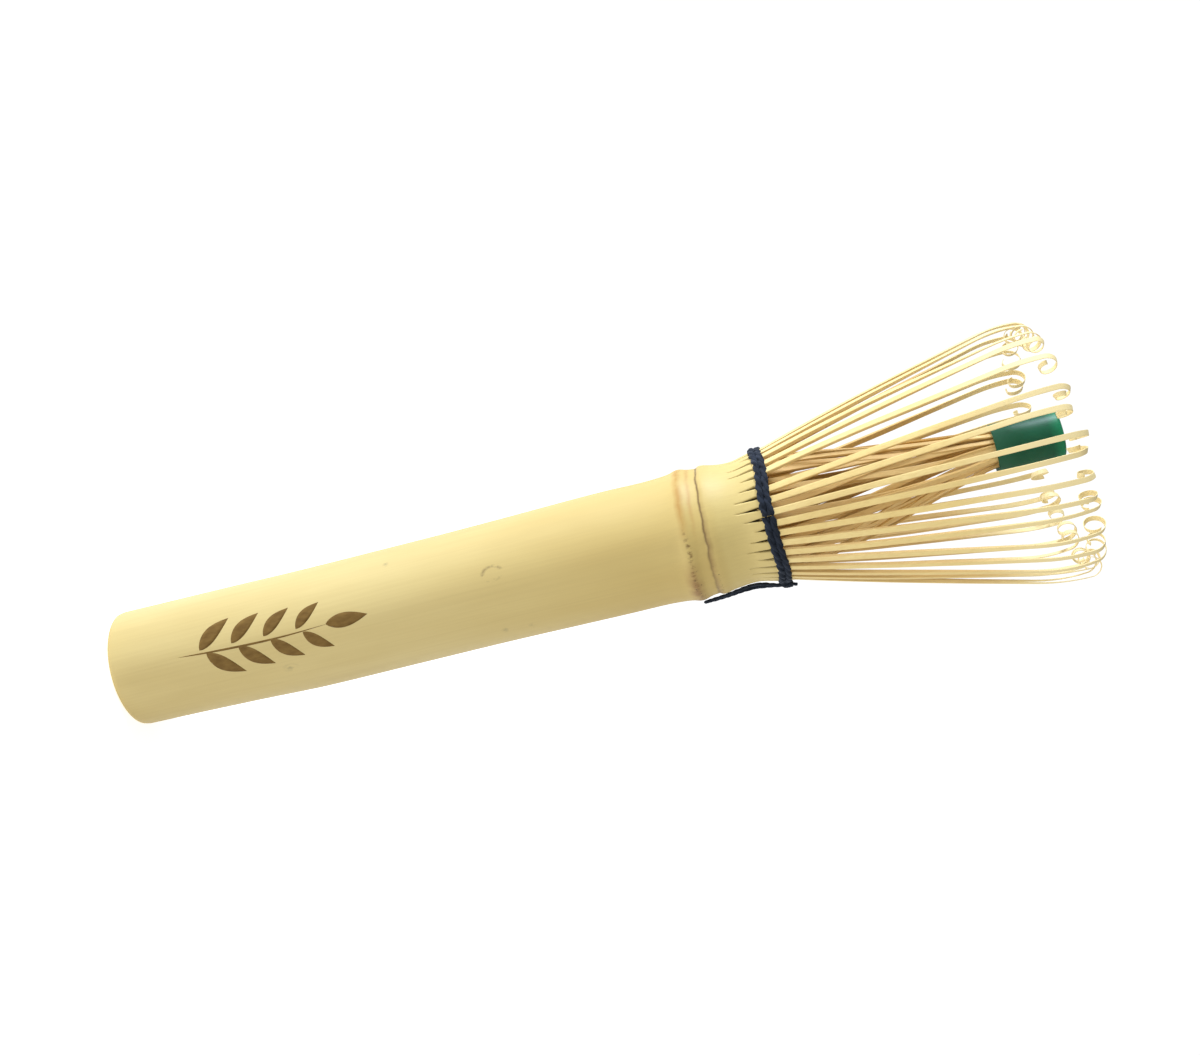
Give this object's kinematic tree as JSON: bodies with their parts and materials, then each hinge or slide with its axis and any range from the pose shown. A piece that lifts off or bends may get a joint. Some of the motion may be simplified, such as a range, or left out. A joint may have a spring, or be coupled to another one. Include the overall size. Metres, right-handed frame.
{
  "type": "bamboo tea whisk",
  "caption": "Handheld whisk of split bamboo: a hollow handle whose curled outer tines fan out round a gathered inner bundle under a slip-off cap, bound with thread.",
  "frame": {"origin": "centre of the handle's open bottom face, on the handle's axis", "axes": "+Z along the handle from its base to the tines; -Y is the side with the burned mark; the spare thread loop is on +X"},
  "size_m": [0.0478, 0.0478, 0.1824],
  "materials": {
    "bamboo_culm": "smooth satin culm skin",
    "bamboo_splint": "shaved splint, satin",
    "bamboo_inner": "shaved inner splint, matte",
    "thread": "twisted cotton thread",
    "green_plastic": "translucent moulded plastic"
  },
  "bodies": {
    "handle": {"culm": "bamboo_culm", "inner_tines_1": "bamboo_inner", "inner_tines_2": "bamboo_inner", "inner_tines_3": "bamboo_inner", "inner_tines_4": "bamboo_inner", "inner_tines_5": "bamboo_inner", "inner_tines_6": "bamboo_inner", "inner_tines_7": "bamboo_inner", "inner_tines_8": "bamboo_inner", "binding_thread_lower": "thread", "binding_thread_upper": "thread", "thread_knot": "thread", "thread_loop": "thread"},
    "outer_tine_01": {"outer_tine_01": "bamboo_splint"},
    "outer_tine_02": {"outer_tine_02": "bamboo_splint"},
    "outer_tine_03": {"outer_tine_03": "bamboo_splint"},
    "outer_tine_04": {"outer_tine_04": "bamboo_splint"},
    "outer_tine_05": {"outer_tine_05": "bamboo_splint"},
    "outer_tine_06": {"outer_tine_06": "bamboo_splint"},
    "outer_tine_07": {"outer_tine_07": "bamboo_splint"},
    "outer_tine_08": {"outer_tine_08": "bamboo_splint"},
    "outer_tine_09": {"outer_tine_09": "bamboo_splint"},
    "outer_tine_10": {"outer_tine_10": "bamboo_splint"},
    "outer_tine_11": {"outer_tine_11": "bamboo_splint"},
    "outer_tine_12": {"outer_tine_12": "bamboo_splint"},
    "outer_tine_13": {"outer_tine_13": "bamboo_splint"},
    "outer_tine_14": {"outer_tine_14": "bamboo_splint"},
    "outer_tine_15": {"outer_tine_15": "bamboo_splint"},
    "outer_tine_16": {"outer_tine_16": "bamboo_splint"},
    "outer_tine_17": {"outer_tine_17": "bamboo_splint"},
    "outer_tine_18": {"outer_tine_18": "bamboo_splint"},
    "outer_tine_19": {"outer_tine_19": "bamboo_splint"},
    "outer_tine_20": {"outer_tine_20": "bamboo_splint"},
    "outer_tine_21": {"outer_tine_21": "bamboo_splint"},
    "outer_tine_22": {"outer_tine_22": "bamboo_splint"},
    "outer_tine_23": {"outer_tine_23": "bamboo_splint"},
    "outer_tine_24": {"outer_tine_24": "bamboo_splint"},
    "outer_tine_25": {"outer_tine_25": "bamboo_splint"},
    "outer_tine_26": {"outer_tine_26": "bamboo_splint"},
    "outer_tine_27": {"outer_tine_27": "bamboo_splint"},
    "outer_tine_28": {"outer_tine_28": "bamboo_splint"},
    "outer_tine_29": {"outer_tine_29": "bamboo_splint"},
    "outer_tine_30": {"outer_tine_30": "bamboo_splint"},
    "outer_tine_31": {"outer_tine_31": "bamboo_splint"},
    "outer_tine_32": {"outer_tine_32": "bamboo_splint"},
    "outer_tine_33": {"outer_tine_33": "bamboo_splint"},
    "outer_tine_34": {"outer_tine_34": "bamboo_splint"},
    "outer_tine_35": {"outer_tine_35": "bamboo_splint"},
    "outer_tine_36": {"outer_tine_36": "bamboo_splint"},
    "outer_tine_37": {"outer_tine_37": "bamboo_splint"},
    "tip_cap": {"tip_cap": "green_plastic"}
  },
  "joints": [
    {"name": "outer_tine_01_flex", "type": "hinge", "parent": "handle", "child": "outer_tine_01", "pos_m": [-0.00081, -0.01165, 0.1282], "axis": [0.9976, -0.0698, 0], "range_deg": [-6, 6], "stiffness_Nm_per_rad": 0.003},
    {"name": "outer_tine_02_flex", "type": "hinge", "parent": "handle", "child": "outer_tine_02", "pos_m": [0.00111, -0.01163, 0.1282], "axis": [0.9954, 0.0954, 0], "range_deg": [-6, 6], "stiffness_Nm_per_rad": 0.003},
    {"name": "outer_tine_03_flex", "type": "hinge", "parent": "handle", "child": "outer_tine_03", "pos_m": [0.00301, -0.01128, 0.1282], "axis": [0.9662, 0.2579, 0], "range_deg": [-6, 6], "stiffness_Nm_per_rad": 0.003},
    {"name": "outer_tine_04_flex", "type": "hinge", "parent": "handle", "child": "outer_tine_04", "pos_m": [0.00483, -0.01064, 0.1282], "axis": [0.9105, 0.4134, 0], "range_deg": [-6, 6], "stiffness_Nm_per_rad": 0.003},
    {"name": "outer_tine_05_flex", "type": "hinge", "parent": "handle", "child": "outer_tine_05", "pos_m": [0.00651, -0.0097, 0.1282], "axis": [0.8301, 0.5577, 0], "range_deg": [-6, 6], "stiffness_Nm_per_rad": 0.003},
    {"name": "outer_tine_06_flex", "type": "hinge", "parent": "handle", "child": "outer_tine_06", "pos_m": [0.00802, -0.00849, 0.1282], "axis": [0.727, 0.6867, 0], "range_deg": [-6, 6], "stiffness_Nm_per_rad": 0.003},
    {"name": "outer_tine_07_flex", "type": "hinge", "parent": "handle", "child": "outer_tine_07", "pos_m": [0.00931, -0.00705, 0.1282], "axis": [0.604, 0.797, 0], "range_deg": [-6, 6], "stiffness_Nm_per_rad": 0.003},
    {"name": "outer_tine_08_flex", "type": "hinge", "parent": "handle", "child": "outer_tine_08", "pos_m": [0.01034, -0.00543, 0.1282], "axis": [0.4646, 0.8855, 0], "range_deg": [-6, 6], "stiffness_Nm_per_rad": 0.003},
    {"name": "outer_tine_09_flex", "type": "hinge", "parent": "handle", "child": "outer_tine_09", "pos_m": [0.0111, -0.00365, 0.1282], "axis": [0.3125, 0.9499, 0], "range_deg": [-6, 6], "stiffness_Nm_per_rad": 0.003},
    {"name": "outer_tine_10_flex", "type": "hinge", "parent": "handle", "child": "outer_tine_10", "pos_m": [0.01154, -0.00177, 0.1282], "axis": [0.1519, 0.9884, 0], "range_deg": [-6, 6], "stiffness_Nm_per_rad": 0.003},
    {"name": "outer_tine_11_flex", "type": "hinge", "parent": "handle", "child": "outer_tine_11", "pos_m": [0.01168, 0.00015, 0.1282], "axis": [-0.0129, 0.9999, 0], "range_deg": [-6, 6], "stiffness_Nm_per_rad": 0.003},
    {"name": "outer_tine_12_flex", "type": "hinge", "parent": "handle", "child": "outer_tine_12", "pos_m": [0.0115, 0.00207, 0.1282], "axis": [-0.1773, 0.9842, 0], "range_deg": [-6, 6], "stiffness_Nm_per_rad": 0.003},
    {"name": "outer_tine_13_flex", "type": "hinge", "parent": "handle", "child": "outer_tine_13", "pos_m": [0.011, 0.00393, 0.1282], "axis": [-0.3368, 0.9416, 0], "range_deg": [-6, 6], "stiffness_Nm_per_rad": 0.003},
    {"name": "outer_tine_14_flex", "type": "hinge", "parent": "handle", "child": "outer_tine_14", "pos_m": [0.0102, 0.00569, 0.1282], "axis": [-0.4872, 0.8733, 0], "range_deg": [-6, 6], "stiffness_Nm_per_rad": 0.003},
    {"name": "outer_tine_15_flex", "type": "hinge", "parent": "handle", "child": "outer_tine_15", "pos_m": [0.00912, 0.00729, 0.1282], "axis": [-0.6243, 0.7812, 0], "range_deg": [-6, 6], "stiffness_Nm_per_rad": 0.003},
    {"name": "outer_tine_16_flex", "type": "hinge", "parent": "handle", "child": "outer_tine_16", "pos_m": [0.0078, 0.00869, 0.1282], "axis": [-0.7444, 0.6678, 0], "range_deg": [-6, 6], "stiffness_Nm_per_rad": 0.003},
    {"name": "outer_tine_17_flex", "type": "hinge", "parent": "handle", "child": "outer_tine_17", "pos_m": [0.00626, 0.00986, 0.1282], "axis": [-0.8441, 0.5361, 0], "range_deg": [-6, 6], "stiffness_Nm_per_rad": 0.003},
    {"name": "outer_tine_18_flex", "type": "hinge", "parent": "handle", "child": "outer_tine_18", "pos_m": [0.00455, 0.01076, 0.1282], "axis": [-0.9209, 0.3899, 0], "range_deg": [-6, 6], "stiffness_Nm_per_rad": 0.003},
    {"name": "outer_tine_19_flex", "type": "hinge", "parent": "handle", "child": "outer_tine_19", "pos_m": [0.00272, 0.01136, 0.1282], "axis": [-0.9725, 0.233, 0], "range_deg": [-6, 6], "stiffness_Nm_per_rad": 0.003},
    {"name": "outer_tine_20_flex", "type": "hinge", "parent": "handle", "child": "outer_tine_20", "pos_m": [0.00081, 0.01165, 0.1282], "axis": [-0.9976, 0.0698, 0], "range_deg": [-6, 6], "stiffness_Nm_per_rad": 0.003},
    {"name": "outer_tine_21_flex", "type": "hinge", "parent": "handle", "child": "outer_tine_21", "pos_m": [-0.00111, 0.01163, 0.1282], "axis": [-0.9954, -0.0954, 0], "range_deg": [-6, 6], "stiffness_Nm_per_rad": 0.003},
    {"name": "outer_tine_22_flex", "type": "hinge", "parent": "handle", "child": "outer_tine_22", "pos_m": [-0.00301, 0.01128, 0.1282], "axis": [-0.9662, -0.2579, 0], "range_deg": [-6, 6], "stiffness_Nm_per_rad": 0.003},
    {"name": "outer_tine_23_flex", "type": "hinge", "parent": "handle", "child": "outer_tine_23", "pos_m": [-0.00483, 0.01064, 0.1282], "axis": [-0.9105, -0.4134, 0], "range_deg": [-6, 6], "stiffness_Nm_per_rad": 0.003},
    {"name": "outer_tine_24_flex", "type": "hinge", "parent": "handle", "child": "outer_tine_24", "pos_m": [-0.00651, 0.0097, 0.1282], "axis": [-0.8301, -0.5577, 0], "range_deg": [-6, 6], "stiffness_Nm_per_rad": 0.003},
    {"name": "outer_tine_25_flex", "type": "hinge", "parent": "handle", "child": "outer_tine_25", "pos_m": [-0.00802, 0.00849, 0.1282], "axis": [-0.727, -0.6867, 0], "range_deg": [-6, 6], "stiffness_Nm_per_rad": 0.003},
    {"name": "outer_tine_26_flex", "type": "hinge", "parent": "handle", "child": "outer_tine_26", "pos_m": [-0.00931, 0.00705, 0.1282], "axis": [-0.604, -0.797, 0], "range_deg": [-6, 6], "stiffness_Nm_per_rad": 0.003},
    {"name": "outer_tine_27_flex", "type": "hinge", "parent": "handle", "child": "outer_tine_27", "pos_m": [-0.01034, 0.00543, 0.1282], "axis": [-0.4646, -0.8855, 0], "range_deg": [-6, 6], "stiffness_Nm_per_rad": 0.003},
    {"name": "outer_tine_28_flex", "type": "hinge", "parent": "handle", "child": "outer_tine_28", "pos_m": [-0.0111, 0.00365, 0.1282], "axis": [-0.3125, -0.9499, 0], "range_deg": [-6, 6], "stiffness_Nm_per_rad": 0.003},
    {"name": "outer_tine_29_flex", "type": "hinge", "parent": "handle", "child": "outer_tine_29", "pos_m": [-0.01154, 0.00177, 0.1282], "axis": [-0.1519, -0.9884, 0], "range_deg": [-6, 6], "stiffness_Nm_per_rad": 0.003},
    {"name": "outer_tine_30_flex", "type": "hinge", "parent": "handle", "child": "outer_tine_30", "pos_m": [-0.01168, -0.00015, 0.1282], "axis": [0.0129, -0.9999, 0], "range_deg": [-6, 6], "stiffness_Nm_per_rad": 0.003},
    {"name": "outer_tine_31_flex", "type": "hinge", "parent": "handle", "child": "outer_tine_31", "pos_m": [-0.0115, -0.00207, 0.1282], "axis": [0.1773, -0.9842, 0], "range_deg": [-6, 6], "stiffness_Nm_per_rad": 0.003},
    {"name": "outer_tine_32_flex", "type": "hinge", "parent": "handle", "child": "outer_tine_32", "pos_m": [-0.011, -0.00393, 0.1282], "axis": [0.3368, -0.9416, 0], "range_deg": [-6, 6], "stiffness_Nm_per_rad": 0.003},
    {"name": "outer_tine_33_flex", "type": "hinge", "parent": "handle", "child": "outer_tine_33", "pos_m": [-0.0102, -0.00569, 0.1282], "axis": [0.4872, -0.8733, 0], "range_deg": [-6, 6], "stiffness_Nm_per_rad": 0.003},
    {"name": "outer_tine_34_flex", "type": "hinge", "parent": "handle", "child": "outer_tine_34", "pos_m": [-0.00912, -0.00729, 0.1282], "axis": [0.6243, -0.7812, 0], "range_deg": [-6, 6], "stiffness_Nm_per_rad": 0.003},
    {"name": "outer_tine_35_flex", "type": "hinge", "parent": "handle", "child": "outer_tine_35", "pos_m": [-0.0078, -0.00869, 0.1282], "axis": [0.7444, -0.6678, 0], "range_deg": [-6, 6], "stiffness_Nm_per_rad": 0.003},
    {"name": "outer_tine_36_flex", "type": "hinge", "parent": "handle", "child": "outer_tine_36", "pos_m": [-0.00455, -0.01076, 0.1282], "axis": [0.9209, -0.3899, 0], "range_deg": [-6, 6], "stiffness_Nm_per_rad": 0.003},
    {"name": "outer_tine_37_flex", "type": "hinge", "parent": "handle", "child": "outer_tine_37", "pos_m": [-0.00272, -0.01136, 0.1282], "axis": [0.9725, -0.233, 0], "range_deg": [-6, 6], "stiffness_Nm_per_rad": 0.003},
    {"name": "tip_cap_slide", "type": "slide", "parent": "handle", "child": "tip_cap", "axis": [0, 0, 1], "range_m": [0, 0.03]}
  ],
  "couplings": [
    {"joint": "outer_tine_01_flex", "follows": "outer_tine_03_flex", "ratio": 0.7},
    {"joint": "outer_tine_02_flex", "follows": "outer_tine_03_flex", "ratio": 0.9},
    {"joint": "outer_tine_04_flex", "follows": "outer_tine_03_flex", "ratio": 0.9},
    {"joint": "outer_tine_05_flex", "follows": "outer_tine_03_flex", "ratio": 0.7},
    {"joint": "outer_tine_06_flex", "follows": "outer_tine_08_flex", "ratio": 0.7},
    {"joint": "outer_tine_07_flex", "follows": "outer_tine_08_flex", "ratio": 0.9},
    {"joint": "outer_tine_09_flex", "follows": "outer_tine_08_flex", "ratio": 0.9},
    {"joint": "outer_tine_10_flex", "follows": "outer_tine_08_flex", "ratio": 0.7},
    {"joint": "outer_tine_11_flex", "follows": "outer_tine_13_flex", "ratio": 0.7},
    {"joint": "outer_tine_12_flex", "follows": "outer_tine_13_flex", "ratio": 0.9},
    {"joint": "outer_tine_14_flex", "follows": "outer_tine_13_flex", "ratio": 0.9},
    {"joint": "outer_tine_15_flex", "follows": "outer_tine_13_flex", "ratio": 0.7},
    {"joint": "outer_tine_16_flex", "follows": "outer_tine_18_flex", "ratio": 0.7},
    {"joint": "outer_tine_17_flex", "follows": "outer_tine_18_flex", "ratio": 0.9},
    {"joint": "outer_tine_19_flex", "follows": "outer_tine_18_flex", "ratio": 0.9},
    {"joint": "outer_tine_20_flex", "follows": "outer_tine_18_flex", "ratio": 0.7},
    {"joint": "outer_tine_21_flex", "follows": "outer_tine_23_flex", "ratio": 0.7},
    {"joint": "outer_tine_22_flex", "follows": "outer_tine_23_flex", "ratio": 0.9},
    {"joint": "outer_tine_24_flex", "follows": "outer_tine_23_flex", "ratio": 0.9},
    {"joint": "outer_tine_25_flex", "follows": "outer_tine_23_flex", "ratio": 0.7},
    {"joint": "outer_tine_26_flex", "follows": "outer_tine_28_flex", "ratio": 0.7},
    {"joint": "outer_tine_27_flex", "follows": "outer_tine_28_flex", "ratio": 0.9},
    {"joint": "outer_tine_29_flex", "follows": "outer_tine_28_flex", "ratio": 0.9},
    {"joint": "outer_tine_30_flex", "follows": "outer_tine_32_flex", "ratio": 0.7},
    {"joint": "outer_tine_31_flex", "follows": "outer_tine_32_flex", "ratio": 0.9},
    {"joint": "outer_tine_33_flex", "follows": "outer_tine_32_flex", "ratio": 0.9},
    {"joint": "outer_tine_34_flex", "follows": "outer_tine_36_flex", "ratio": 0.7},
    {"joint": "outer_tine_35_flex", "follows": "outer_tine_36_flex", "ratio": 0.9},
    {"joint": "outer_tine_37_flex", "follows": "outer_tine_36_flex", "ratio": 0.9}
  ]
}
